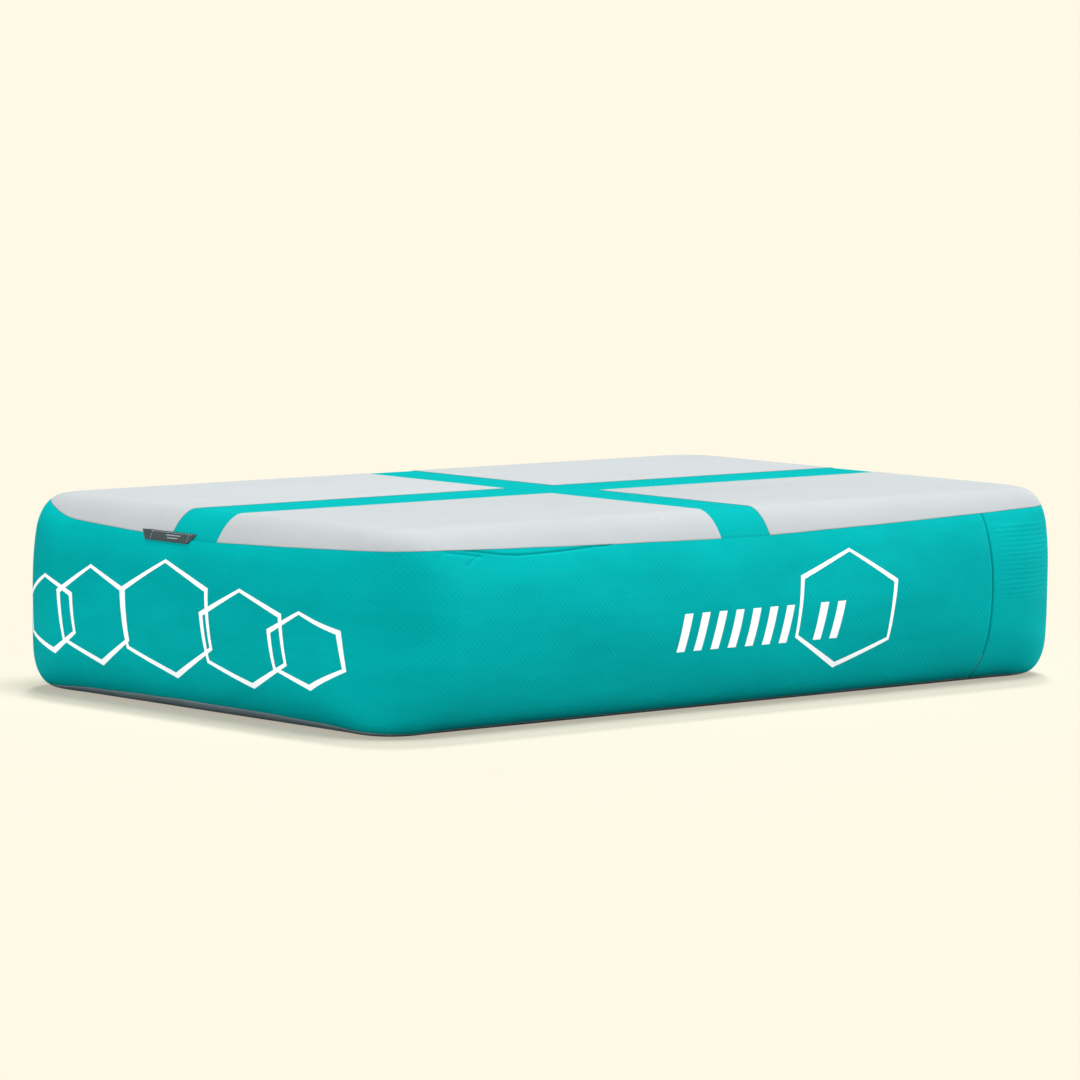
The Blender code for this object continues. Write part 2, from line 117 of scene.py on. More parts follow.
CAMERA_AIM = Vector((0, 0, HEIGHT / 2))
CAMERA_TURN = math.radians(-43.2936)
CAMERA_RISE = math.radians(5.3674)
CAMERA_ROLL = math.radians(0.9011)
CAMERA_DISTANCE = 6.2337
CAMERA_SIDE = -0.0116
CAMERA_LIFT = 0.0464
CAMERA_LENS = 200
SENSOR_WIDTH = 36

# Strength of the sky at the horizon and what it gains overhead
SKY_LOW = 0.12
SKY_RISE = 0.02

FLOOR_SIZE = 600
FLOOR_DROP = 0.2 * MM
FLOOR_BOUNCE = 0.64
FLOOR_GLOW = 0.44

# Name, side it comes from (0 is the front), height, share of the light, spread, lights the floor
SUNS = (
    ("sun_high", 30, 78, 0.92, 30, True),
    ("sun_right", 65, 12, 0.86, 50, False),
    ("sun_left", -75, 14, 0.71, 50, False),
    ("sun_back", 135, 69, 0.56, 8, True),
)


def add_camera():
    turn, rise, roll = CAMERA_TURN, CAMERA_RISE, CAMERA_ROLL
    flat = math.cos(rise)
    back = Vector((math.sin(turn) * flat, -math.cos(turn) * flat, math.sin(rise)))
    right = Vector((math.cos(turn), math.sin(turn), 0))
    up = back.cross(right)
    across = right * math.cos(roll) + up * math.sin(roll)
    upright = up * math.cos(roll) - right * math.sin(roll)
    data = bpy.data.cameras.new("camera")
    data.lens = CAMERA_LENS
    data.sensor_width = SENSOR_WIDTH
    data.clip_end = 2 * FLOOR_SIZE
    camera = bpy.data.objects.new("camera", data)
    SCENE.collection.objects.link(camera)
    place = CAMERA_AIM + back * CAMERA_DISTANCE + right * CAMERA_SIDE + up * CAMERA_LIFT
    turned = Matrix((across, upright, back)).transposed().to_4x4()
    camera.matrix_world = Matrix.Translation(place) @ turned
    SCENE.camera = camera


def add_sun(name, turn, rise, share, spread, lights_floor):
    """Sun from the given side; share is what it adds to the light on a surface that faces it."""
    data = bpy.data.lights.new(name, "SUN")
    data.energy = share * math.pi
    data.angle = math.radians(spread)
    lamp = bpy.data.objects.new(name, data)
    lamp.rotation_euler = (math.radians(90 - rise), 0, math.radians(turn))
    SCENE.collection.objects.link(lamp)
    if not lights_floor:
        unlit = bpy.data.collections.new(name + "_unlit")
        unlit.objects.link(bpy.data.objects["floor"])
        lamp.light_linking.receiver_collection = unlit
        unlit.collection_objects[0].light_linking.link_state = "EXCLUDE"


class Nodes:
    """Short ways to add and join the nodes of one tree."""

    def __init__(self, tree):
        self.tree = tree
        tree.nodes.clear()

    def put(self, socket, value):
        if isinstance(value, bpy.types.NodeSocket):
            self.tree.links.new(value, socket)
        else:
            socket.default_value = value

    def add(self, kind, inputs=(), **settings):
        node = self.tree.nodes.new("ShaderNode" + kind)
        for key, value in settings.items():
            setattr(node, key, value)
        for key, value in dict(inputs).items():
            self.put(node.inputs[key], value)
        return node

    def maths(self, operation, *values):
        node = self.add("Math", operation=operation)
        for socket, value in zip(node.inputs, values):
            self.put(socket, value)
        return node.outputs[0]

    def times(self, first, second):
        return self.maths("MULTIPLY", first, second)

    def span(self, value, low, high, new_low, new_high):
        pairs = {"Value": value, "From Min": low, "From Max": high}
        pairs.update({"To Min": new_low, "To Max": new_high})
        return self.add("MapRange", pairs).outputs[0]

    def spread(self, noise, low, high):
        """Noise as a factor from low to high, over the range where most of it lies."""
        return self.span(noise, 0.3, 0.7, low, high)

    def noise(self, place, scale, detail=2.0, rough=0.5):
        pairs = {"Vector": place, "Scale": scale, "Detail": detail, "Roughness": rough}
        return self.add("TexNoise", pairs).outputs["Fac"]


def add_world():
    """Soft sky, brighter overhead, for the light; the plain backdrop for the camera."""
    world = bpy.data.worlds.new("studio")
    world.use_nodes = True
    n = Nodes(world.node_tree)
    way = n.add("TexCoord").outputs["Generated"]
    rise = n.add("SeparateXYZ", {"Vector": way}).outputs["Z"]
    glow = n.span(rise, 0, 1, SKY_LOW, SKY_LOW + SKY_RISE)
    light = n.add("Background", {"Color": WHITE, "Strength": glow}).outputs[0]
    backdrop = n.add("Background", {"Color": (*CREAM, 1), "Strength": 1.0}).outputs[0]
    seen = n.add("LightPath").outputs["Is Camera Ray"]
    mixed = n.add("MixShader", {0: seen, 1: light, 2: backdrop}).outputs[0]
    n.add("OutputWorld", {"Surface": mixed})
    SCENE.world = world


def floor_light():
    """Light on the open floor, as a share of what a white surface would send back."""
    sky_mean = 2 / 3
    level = SKY_LOW + sky_mean * SKY_RISE
    across = np.linspace(-0.99, 0.99, 100)
    weight = np.sqrt(1 - across ** 2)
    for _, _, rise, share, spread, lights_floor in SUNS:
        climb = np.sin(np.radians(rise + across * spread / 2))
        level += lights_floor * share * float((weight * climb).sum() / weight.sum())
    return level


def add_floor():
    """Pale floor that matches the backdrop and sends little light back up."""
    mat = bpy.data.materials.new("floor")
    mat.use_nodes = True
    n = Nodes(mat.node_tree)
    level = floor_light()
    tone = (*(c / level for c in CREAM), 1)
    bounce = (FLOOR_BOUNCE, FLOOR_BOUNCE, FLOOR_BOUNCE, 1)
    lit = n.add("BsdfDiffuse", {"Color": tone}).outputs[0]
    glow = n.add("Emission", {"Color": (*CREAM, 1), "Strength": 1.0}).outputs[0]
    shown = n.add("MixShader", {0: FLOOR_GLOW, 1: lit, 2: glow}).outputs[0]
    dim = n.add("BsdfDiffuse", {"Color": bounce}).outputs[0]
    seen = n.add("LightPath").outputs["Is Camera Ray"]
    mixed = n.add("MixShader", {0: seen, 1: dim, 2: shown}).outputs[0]
    n.add("OutputMaterial", {"Surface": mixed})
    bpy.ops.mesh.primitive_plane_add(size=FLOOR_SIZE, location=(0, 0, -FLOOR_DROP))
    floor = bpy.context.object
    floor.name = "floor"
    floor.data.materials.append(mat)


# ---------- wall section and plan ----------

PLAN_STEP = MM
ARC_STEPS = 2000


def plan_table():
    """Flat outline sampled along the loop: place, x, y, normal x, normal y, corner share."""
    rows = []
    corners = ((1, -1, -90), (1, 1, 0), (-1, 1, 90), (-1, -1, 180))
    starts = ((-RUN_X, -FLAT_W), (FLAT_L, -RUN_Y), (RUN_X, FLAT_W), (-FLAT_L, RUN_Y))
    ways = ((1, 0), (0, 1), (-1, 0), (0, -1))
    lengths = (2 * RUN_X, 2 * RUN_Y, 2 * RUN_X, 2 * RUN_Y)
    s = 0.0
    for (sx, sy, turn), (x0, y0), (wx, wy), length in zip(corners, starts, ways, lengths):
        for t in np.arange(0, length, PLAN_STEP):
            rows.append((s + t, x0 + wx * t, y0 + wy * t, wy, -wx, 0.0))
        s += length
        for t in np.arange(0, CORNER_RUN, PLAN_STEP):
            share = t / CORNER_RUN
            a = math.radians(turn + 90 * share)
            nx, ny = math.cos(a), math.sin(a)
            x, y = sx * RUN_X + CORNER_R * nx, sy * RUN_Y + CORNER_R * ny
            rows.append((s + t, x, y, nx, ny, math.sin(math.pi * share) ** 2))
        s += CORNER_RUN
    return np.array(rows).T


PLAN = plan_table()


def plan(s):
    s = np.mod(s, LOOP)
    return [np.interp(s, PLAN[0], column, period=LOOP) for column in PLAN[1:]]


def section(z, corner):
    """Reach of the wall at height z, and the outward and upward parts of its normal."""
    t = np.clip(2 * z / HEIGHT - 1, -1, 1)
    size = np.minimum(np.abs(t), 1 - 1e-7)
    reach = np.zeros(np.broadcast(size, corner).shape)
    slope = np.zeros_like(reach)
    for (upper, lower), share in ((SIDE_POWERS, 1 - corner), (CORNER_POWERS, corner)):
        power = np.where(t < 0, lower, upper)
        left = 1 - size ** power
        reach = reach + share * BULGE * left ** (1 / power)
        steep = size ** (power - 1) * left ** (1 / power - 1)
        slope = slope - share * np.sign(t) * steep * BULGE * 2 / HEIGHT
    norm = np.hypot(1.0, slope)
    return reach, 1 / norm, -slope / norm


def z_of(angle):
    """Height of the wall at an angle that runs from 0, the top edge, to pi, the bottom edge."""
    return HEIGHT / 2 * (1 + np.cos(angle))


def angle_of(z):
    return np.arccos(np.clip(2 * np.asarray(z) / HEIGHT - 1, -1, 1))


def smooth(a, b, x):
    t = np.clip((x - a) / (b - a), 0, 1)
    return t * t * (3 - 2 * t)


def hump(x, centre, half):
    """Smooth rise to 1 at the centre, and 0 from half a width away."""
    return smooth(half, 0, np.abs(x - centre))


def apart(s, place):
    """Signed way along the loop from a place to s, the short way round."""
    return np.mod(s - place + LOOP / 2, LOOP) - LOOP / 2


def arc_table():
    """Length along the wall's section, 0 halfway along it and positive upwards."""
    z = z_of(np.linspace(math.pi, 0, ARC_STEPS))
    reach = section(z, 0.0)[0]
    steps = np.hypot(np.diff(z), np.diff(reach))
    arc = np.concatenate([[0], np.cumsum(steps)])
    return arc - arc[-1] / 2, z


ARC, ARC_Z = arc_table()


def arc_of(z):
    return np.interp(z, ARC_Z, ARC)


def z_at(arc):
    return np.interp(arc, ARC, ARC_Z)


def wall(s, z, depth=0.0, detail=True):
    """Points on the wall, depth below its outer face; detail adds the folds of the fabric."""
    s, z = np.broadcast_arrays(np.asarray(s, float), np.asarray(z, float))
    x, y, nx, ny, corner = plan(s)
    reach, out, up = section(z, corner)
    sink = depth - folds(s, z) if detail else depth
    stand = reach - sink * out
    px, py, pz = x + nx * stand, y + ny * stand, z - sink * up
    off = np.hypot(py, z - HEIGHT / 2)
    flat = (1 - smooth(SEAT_FULL, SEAT_BLEND, off)) * (nx > FACING)
    past = px + depth * out - SEAT_X
    px = px - flat * (past + np.hypot(past, SEAT_SOFT)) / 2
    return np.stack([px, py, pz], -1)


# ---------- fabric folds ----------

# Grid of the fabric: places along the loop and across the wall
FOLD_S = 420
FOLD_V = 41
FOLD_LIMIT = 0.7 * MM
FOLD_SHARE = 0.5
FOLD_EDGE = 4
FOLD_BLUR = (2, 1)
SWELL_BLUR = (14, 6)

# Cloth that the folds come from: first bumps, rows held at each edge, settings
BUMP_SEED = 7
BUMP_BLUR = (2, 2)
BUMP_MM = 0.6
HELD_ROWS = 2
RELAX_FRAMES = 20
CLOTH_SETTINGS = {
    "quality": 6,
    "mass": 0.4,
    "tension_stiffness": 12,
    "compression_stiffness": 12,
    "shear_stiffness": 6,
    "bending_stiffness": 0.6,
    "use_pressure": True,
    "uniform_pressure_force": 4,
    "shrink_min": -0.012,
    "vertex_group_mass": "held",
}
FOLDS = np.zeros((FOLD_S, FOLD_V))


def folds(s, z):
    """Height of the folds at places on the wall, from the relaxed fabric."""
    u = np.mod(s, LOOP) / LOOP * FOLD_S
    v = angle_of(z) / math.pi * (FOLD_V - 1)
    i, j = np.floor(u).astype(int), np.minimum(np.floor(v).astype(int), FOLD_V - 2)
    fu, fv = u - i, v - j
    i0, i1 = i % FOLD_S, (i + 1) % FOLD_S
    low = FOLDS[i0, j] * (1 - fu) + FOLDS[i1, j] * fu
    high = FOLDS[i0, j + 1] * (1 - fu) + FOLDS[i1, j + 1] * fu
    return low * (1 - fv) + high * fv


def grid_faces(rows, columns, closed=False):
    """Quads of a grid of points, row by row, facing out when rows run down and columns run on."""
    r = np.arange(rows - 1)[:, None]
    c = np.arange(columns if closed else columns - 1)[None, :]
    d = (c + 1) % columns
    quads = np.stack(np.broadcast_arrays(r * columns + c, (r + 1) * columns + c,
                                         (r + 1) * columns + d, r * columns + d), -1)
    return quads.reshape(-1, 4).tolist()


def blur(field, reach_s, reach_v):
    """Gaussian blur along the loop, which is closed, and across it, which is not."""
    out = field
    for axis, reach in ((0, reach_s), (1, reach_v)):
        k = np.arange(-3 * reach, 3 * reach + 1)
        w = np.exp(-0.5 * (k / reach) ** 2)
        w /= w.sum()
        mode = "wrap" if axis == 0 else "edge"
        pad = [(0, 0), (0, 0)]
        pad[axis] = (3 * reach, 3 * reach)
        big = np.pad(out, pad, mode=mode)
        out = sum(wi * np.roll(big, -i, axis) for i, wi in enumerate(w))[:FOLD_S, :FOLD_V]
    return out


def relax_fabric():
    """Lets the wall's fabric buckle under pressure, and gives how far each point stood out."""
    s = np.arange(FOLD_S) / FOLD_S * LOOP
    v = np.linspace(0, math.pi, FOLD_V)
    ss, vv = np.meshgrid(s, v, indexing="ij")
    start = wall(ss, z_of(vv), detail=False)
    _, _, nx, ny, corner = plan(ss)
    _, out, up = section(z_of(vv), corner)
    normal = np.stack([nx * out, ny * out, up], -1)
    rng = np.random.default_rng(BUMP_SEED)
    bumps = blur(rng.standard_normal((FOLD_S, FOLD_V)), *BUMP_BLUR)[..., None] * BUMP_MM * MM
    points = start + normal * bumps
    mesh = bpy.data.meshes.new("relax")
    ordered = points.transpose(1, 0, 2).reshape(-1, 3)
    mesh.from_pydata(ordered.tolist(), [], grid_faces(FOLD_V, FOLD_S, True))
    cloth_obj = bpy.data.objects.new("relax", mesh)
    SCENE.collection.objects.link(cloth_obj)
    held = cloth_obj.vertex_groups.new(name="held")
    edge, total = HELD_ROWS * FOLD_S, FOLD_V * FOLD_S
    held.add([*range(edge), *range(total - edge, total)], 1.0, "REPLACE")
    cloth = cloth_obj.modifiers.new("cloth", "CLOTH")
    for key, value in CLOTH_SETTINGS.items():
        setattr(cloth.settings, key, value)
    cloth.settings.effector_weights.gravity = 0
    cloth.collision_settings.use_collision = False
    cloth.point_cache.frame_start = 1
    cloth.point_cache.frame_end = RELAX_FRAMES
    for number in range(1, RELAX_FRAMES + 1):
        SCENE.frame_set(number)
    seen = cloth_obj.evaluated_get(bpy.context.evaluated_depsgraph_get())
    got = np.zeros(len(mesh.vertices) * 3)
    seen.data.vertices.foreach_get("co", got)
    got = got.reshape(FOLD_V, FOLD_S, 3).transpose(1, 0, 2)
    bpy.data.objects.remove(cloth_obj)
    SCENE.frame_set(1)
    return ((got - start) * normal).sum(-1)


def keep_folds(stand):
    """Folds are what is left of the movement once the overall swelling is taken away."""
    fine = blur(stand, *FOLD_BLUR) - blur(stand, *SWELL_BLUR)
    fine = fine - fine.mean(axis=0, keepdims=True)
    row = np.arange(FOLD_V)
    edge = smooth(0, FOLD_EDGE, row) * smooth(0, FOLD_EDGE, FOLD_V - 1 - row)
    fine = fine * edge[None, :] * FOLD_SHARE
    return FOLD_LIMIT * np.tanh(fine / FOLD_LIMIT)


FOLDS = keep_folds(relax_fabric())


# ---------- materials ----------

# Painted shade of the groove along each seam, from its middle to where its dark part ends and where
# it ends, and its way past a seam
SEAM_SHADE_DARK = 0.9 * MM
SEAM_SHADE_END = 2.2 * MM
SEAM_SHADE_SHIFT = 0.8 * MM
SEAM_SHADE_FACTOR = 0.62

# Scales of the noise: blotches drawn out along the wall, and the grain of the coat
DRAWN_OUT = (0.6, 1.8, 1.0)
GRAIN_SCALE = 900


def new_material(name):
    mat = bpy.data.materials.new(name)
    mat.use_nodes = True
    return mat, Nodes(mat.node_tree)


def finish_material(n, colour, rough, height, **constants):
    """Principled shader with the given colour, roughness and bump, and constants on its sockets."""
    shader = n.add("BsdfPrincipled", {"Base Color": colour, "Roughness": rough})
    if height is not None:
        value, reach = height
        pairs = {"Height": value, "Distance": reach, "Strength": 1.0}
        n.put(shader.inputs["Normal"], n.add("Bump", pairs).outputs[0])
    for key, value in constants.items():
        shader.inputs[key.replace("_", " ").title().replace("Ior", "IOR")].default_value = value
    n.add("OutputMaterial", {"Surface": shader.outputs[0]})


def cloth_place(n):
    """Metres along and across the fabric."""
    return n.add("UVMap", uv_map="cloth").outputs["UV"]


def object_place(n):
    return n.add("TexCoord").outputs["Object"]


def threads(n, place, pitch, turn):
    """Two sets of threads that cross at right angles, 0 between them and 1 on their crowns."""
    spun = n.add("Mapping", {"Vector": place, "Rotation": (0, 0, math.radians(turn))}).outputs[0]
    scale = math.pi / 10 / pitch
    sets = [n.add("TexWave", {"Vector": spun, "Scale": scale}, bands_direction=d).outputs["Fac"]
            for d in ("X", "Y")]
    return n.maths("MAXIMUM", *sets)


def shaded(n, colour, factor):
    pairs = {"Vector": colour, "Scale": factor}
    return n.add("VectorMath", pairs, operation="SCALE").outputs["Vector"]


def painted_seam_shade(n, place):
    """Painted shade of the groove where each wall band comes out from under the other, as a factor.
    """
    along = n.add("SeparateXYZ", {"Vector": place}).outputs["X"]
    lines = [n.add("MapRange", {"Value": n.maths("ABSOLUTE", n.maths("SUBTRACT", along, s)),
                                "From Min": SEAM_SHADE_DARK, "From Max": SEAM_SHADE_END,
                                "To Min": SEAM_SHADE_FACTOR, "To Max": 1.0}).outputs[0]
             for s in (FRONT_SEAM + SEAM_SHADE_SHIFT, BACK_SEAM + SEAM_SHADE_SHIFT)]
    return n.times(*lines)


def coated(name, colour, pitch=4.5 * MM, turn=45, relief=0.10 * MM, mottle=0.10, rough=0.72,
           seam_shaded=False):
    """PVC coated fabric: the scrim shows faintly through a grained, slightly blotchy coat; the wall
    bands also get painted shade along their seam grooves.
    """
    mat, n = new_material(name)
    place = cloth_place(n)
    scrim = threads(n, place, pitch, turn)
    grain = n.noise(place, GRAIN_SCALE, 3)
    drawn = n.add("Mapping", {"Vector": place, "Scale": DRAWN_OUT}).outputs[0]
    blotch = n.spread(n.noise(drawn, 9, 4, 0.6), 1 - mottle, 1 + mottle)
    worn = n.span(n.noise(place, 55, 6, 0.7), 0.60, 0.75, 1.0, 1.10)
    woven = n.span(scrim, 0, 1, 0.955, 1.018)
    tone = n.times(n.times(blotch, worn), woven)
    # painted shade along the seam grooves of the wall bands
    if seam_shaded:
        tone = n.times(tone, painted_seam_shade(n, place))
    gloss = n.spread(n.noise(place, 30, 4), rough - 0.06, rough + 0.08)
    height = n.maths("ADD", scrim, n.times(grain, 0.45))
    finish_material(n, shaded(n, colour, tone), gloss, (height, relief), specular_ior_level=0.01)
    return mat


def ink():
    """White print, thin and a little worn, over the coated fabric's grain."""
    mat, n = new_material("print_white")
    place = cloth_place(n)
    worn = n.span(n.noise(place, 260, 5, 0.7), 0.66, 0.74, 1.0, 0.80)
    blotch = n.spread(n.noise(place, 30, 3), 0.985, 1.0)
    tone = n.times(worn, blotch)
    grain = n.noise(place, GRAIN_SCALE, 3)
    finish_material(n, shaded(n, PRINT, tone), 0.55, (grain, 0.05 * MM),
                    specular_ior_level=0.15)
    return mat


def webbing(name, colour, pitch=1.3 * MM):
    """Narrow woven tape with a sheen along its threads."""
    mat, n = new_material(name)
    place = cloth_place(n)
    weave = threads(n, place, pitch, 45)
    fuzz = n.noise(place, 1500, 4, 0.7)
    tone = n.times(n.span(weave, 0, 1, 0.72, 1.12), n.spread(fuzz, 0.9, 1.1))
    height = n.maths("ADD", weave, n.times(fuzz, 0.4))
    finish_material(n, shaded(n, colour, tone), 0.8, (height, 0.25 * MM),
                    specular_ior_level=0.1, sheen_weight=0.12, sheen_roughness=0.4)
    return mat


def moulded(name, colour, rough=0.42):
    """Moulded plastic with a fine spark grain and handling marks."""
    mat, n = new_material(name)
    place = object_place(n)
    grain = n.noise(place, 1400, 2)
    marks = n.span(n.noise(place, 90, 6, 0.75), 0.58, 0.7, 0.0, 1.0)
    patchy = n.spread(n.noise(place, 35, 3), 0.92, 1.08)
    tone = n.maths("ADD", patchy, n.times(marks, 0.25))
    gloss = n.maths("ADD", n.spread(grain, rough - 0.05, rough + 0.05), n.times(marks, 0.12))
    finish_material(n, shaded(n, colour, tone), gloss, (grain, 0.08 * MM), specular_ior_level=0.4)
    return mat


def rubber(name, colour):
    mat, n = new_material(name)
    place = object_place(n)
    dust = n.span(n.noise(place, 300, 5, 0.7), 0.45, 0.75, 1.0, 1.7)
    finish_material(n, shaded(n, colour, dust), 0.7, (n.noise(place, 2200, 2), 0.06 * MM),
                    specular_ior_level=0.3)
    return mat


def drawn_wire(name, colour):
    mat, n = new_material(name)
    place = object_place(n)
    long = n.add("Mapping", {"Vector": place, "Scale": (1.0, 1.0, 0.2)}).outputs[0]
    lines = n.noise(long, 2500, 3)
    tone = n.spread(lines, 0.85, 1.08)
    gloss = n.spread(lines, 0.22, 0.38)
    finish_material(n, shaded(n, colour, tone), gloss, (lines, 0.02 * MM), metallic=1.0)
    return mat


def yarn(name, colour):
    mat, n = new_material(name)
    place = object_place(n)
    weave = threads(n, place, 1.6 * MM, 0)
    fuzz = n.noise(place, 1200, 4, 0.7)
    tone = n.times(n.span(weave, 0, 1, 0.7, 1.05), n.spread(fuzz, 0.9, 1.08))
    finish_material(n, shaded(n, colour, tone), 0.85, (weave, 0.3 * MM),
                    specular_ior_level=0.15, sheen_weight=0.4)
    return mat


TEAL = (0.0003, 0.340, 0.338)
TEAL_TOP = (0.0005, 0.310, 0.306)
GREY = (0.372, 0.395, 0.403)
DARK = (0.240, 0.298, 0.318)
PRINT = (0.95, 0.97, 0.97)

MATS = {
    # the wall teal carries painted shade along its seam grooves
    "teal_pvc": coated("teal_pvc", TEAL, seam_shaded=True),
    "teal_pvc_top": coated("teal_pvc_top", TEAL_TOP, relief=0.06 * MM, mottle=0.03),
    "grey_pvc": coated("grey_pvc", GREY, pitch=2.2 * MM, relief=0.05 * MM, mottle=0.02,
                       rough=0.75),
    "dark_pvc": coated("dark_pvc", DARK, pitch=3 * MM, turn=0, relief=0.2 * MM, rough=0.65),
    "tag_webbing": webbing("tag_webbing", (0.040, 0.056, 0.062)),
    "label_thread": webbing("label_thread", (0.30, 0.33, 0.33), 0.7 * MM),
    "print_white": ink(),
    "valve_plastic": moulded("valve_plastic", (0.022, 0.027, 0.030)),
    "button_plastic": moulded("button_plastic", (0.42, 0.45, 0.46), 0.38),
    "seal_rubber": rubber("seal_rubber", (0.016, 0.016, 0.017)),
    "spring_steel": drawn_wire("spring_steel", (0.62, 0.62, 0.60)),
    "core_yarn": yarn("core_yarn", (0.74, 0.75, 0.72)),
}


# ---------- mesh pieces ----------

SAME_POINT = 1e-6


def add_piece(name, points, faces, uv, mat, body="mat"):
    """Smooth mesh that rides on a body, with its places on the fabric in metres as UV."""
    mesh = bpy.data.meshes.new(name)
    mesh.from_pydata(np.reshape(points, (-1, 3)).tolist(), [], faces)
    layer = mesh.uv_layers.new(name="cloth")
    index = np.empty(len(mesh.loops), np.int32)
    mesh.loops.foreach_get("vertex_index", index)
    places_on = np.reshape(uv, (-1, 2)).astype(np.float32)
    layer.data.foreach_set("uv", places_on[index].ravel())
    mesh.materials.append(MATS[mat])
    mesh.shade_smooth()
    piece = bpy.data.objects.new(name, mesh)
    SCENE.collection.objects.link(piece)
    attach(piece, body)
    return piece


SHARP_ANGLE = 40


def thicken(piece, thickness, edge=0.0):
    """Turns an open skin into a closed sheet below its outer face, with softened edges."""
    solid = piece.modifiers.new("thickness", "SOLIDIFY")
    solid.thickness = thickness
    solid.offset = -1.0
    if edge:
        soften(piece, edge)
    settle(piece)


def soften(piece, edge, segments=2):
    bevel = piece.modifiers.new("edges", "BEVEL")
    bevel.width = edge
    bevel.segments = segments
    bevel.limit_method = "ANGLE"
    bevel.angle_limit = math.radians(SHARP_ANGLE)


def settle(piece, sharp=SHARP_ANGLE):
    """Applies the modifiers, and keeps hard edges hard in the shading."""
    seen = piece.evaluated_get(bpy.context.evaluated_depsgraph_get())
    mesh = bpy.data.meshes.new_from_object(seen)
    piece.modifiers.clear()
    piece.data = mesh
    mesh.name = piece.name
    mesh.set_sharp_from_angle(angle=math.radians(sharp))


def face_out(piece, weld=0.0):
    """Turns every face of a closed mesh outwards; weld joins points closer than that first."""
    bm = bmesh.new()
    bm.from_mesh(piece.data)
    if weld:
        bmesh.ops.remove_doubles(bm, verts=bm.verts, dist=weld)
    bmesh.ops.recalc_face_normals(bm, faces=bm.faces)
    bm.to_mesh(piece.data)
    bm.free()
    piece.data.shade_smooth()


def stands_for(piece, slot, *nodes):
    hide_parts(*nodes)
    return piece


def places(start, end, step):
    count = max(2, int(math.ceil((end - start) / step)) + 1)
    return np.linspace(start, end, count)


# ---------- wall bands ----------

RIB_PITCH = 5 * MM
RIB_HEIGHT = 0.16 * MM
FOOT_ZONE = 280 * MM

# Where the ribs grow and fade, past the front seam and above the floor
RIBS_START = (4 * MM, 30 * MM)
RIBS_END = (170 * MM, 100 * MM)
RIBS_FOOT = (75 * MM, 100 * MM)
RIBS_TOP = (176 * MM, 168 * MM)

# Where each band comes out from under the other: its slope, and the groove along the seam
LAP_SLOPE = (0.6 * MM, 5 * MM)
SEAM_GROOVE = 2.2 * MM
SEAM_MIDDLE = 1 * MM
SEAM_HALF = 2.5 * MM

# Grid of the bands: steps along them, share of their height with the top rows, and how far the
# fine steps go each side of the near corner's end
BAND_STEP = 5 * MM
FINE_STEP = 1.5 * MM
TOP_ZONE = 0.09
CORNER_ZONE = (75 * MM, 45 * MM)

# Creases by the near corner, in mm: width, depth, then points as the way along the front wall
# from the corner's end and the way down from the pads' rim
CREASES = (
    (1.1, 1.6, ((18, 0.4), (40, 3.2), (62, 6.2), (85, 7.6), (115, 6.6), (150, 4.4), (185, 2.2),
                (212, 0.4))),
    (2.0, 0.9, ((-6, 3), (14, 5), (36, 7.5))),
    (2.4, 0.8, ((34, 6), (27, 11), (15, 17))),
    (2.4, 0.7, ((-10, 2), (-18, 9), (-22, 16))),
)


def pad_edge(s):
    """Height of the pads' rim on the wall: it climbs to the corners, most at the back left one."""
    x, y, nx, ny, _ = plan(s)
    share = ny ** 2 * np.abs(x) / FLAT_L + nx ** 2 * np.abs(y) / FLAT_W
    tuck = hump(apart(s, BACK_LEFT_CORNER), 0.0, 80 * MM)
    return PAD_EDGE_Z + PAD_EDGE_RISE * share ** 1.3 + PAD_CORNER_RISE * tuck


def band_top(s):
    return pad_edge(s) - PAD_EDGE_GAP


def band_foot(s):
    """Lower edge of the bands, which lifts in the middle of the two short walls."""
    _, y, nx, _, _ = plan(s)
    return BAND_FOOT_Z + BAND_FOOT_RISE * nx ** 2 * (1 - (y / FOOT_ZONE) ** 2)


def ribs(s, z):
    """Fine level ribs where the fabric is drawn round the corner beyond the front seam."""
    past = apart(s, FRONT_SEAM)
    along = smooth(*RIBS_START, past) * smooth(*RIBS_END, past)
    across = smooth(*RIBS_FOOT, z) * smooth(*RIBS_TOP, z)
    return RIB_HEIGHT * along * across * np.sin(2 * math.pi * arc_of(z) / RIB_PITCH)


def from_line(x, y, line):
    """Distance from points to a line of joined straight steps."""
    nearest = np.full(np.shape(x), np.inf)
    for (x0, y0), (x1, y1) in zip(line, line[1:]):
        dx, dy = x1 - x0, y1 - y0
        t = np.clip(((x - x0) * dx + (y - y0) * dy) / (dx * dx + dy * dy), 0, 1)
        nearest = np.minimum(nearest, np.hypot(x - x0 - t * dx, y - y0 - t * dy))
    return nearest


def creases(s, z):
    along = apart(s, 0.0) / MM
    down = (arc_of(pad_edge(s)) - arc_of(z)) / MM
    return sum(deep * MM * np.exp(-(from_line(along, down, line) / width) ** 2)
               for width, deep, line in CREASES)


def band_places(start, end):
    """Places along a band, close together by its start and by the near corner."""
    spots = [places(start - LAP, start - 3 * MM, 7 * MM),
             np.linspace(start - 2 * MM, start + 7 * MM, 19)]
    after, first, last = start + 8 * MM, LOOP - CORNER_ZONE[0], LOOP + CORNER_ZONE[1]
    if start < first < end:
        spots += [places(after, first, BAND_STEP), places(first, last, FINE_STEP)[1:],
                  places(last, end, BAND_STEP)[1:]]
    else:
        spots.append(places(after, end, BAND_STEP))
    return np.concatenate(spots)


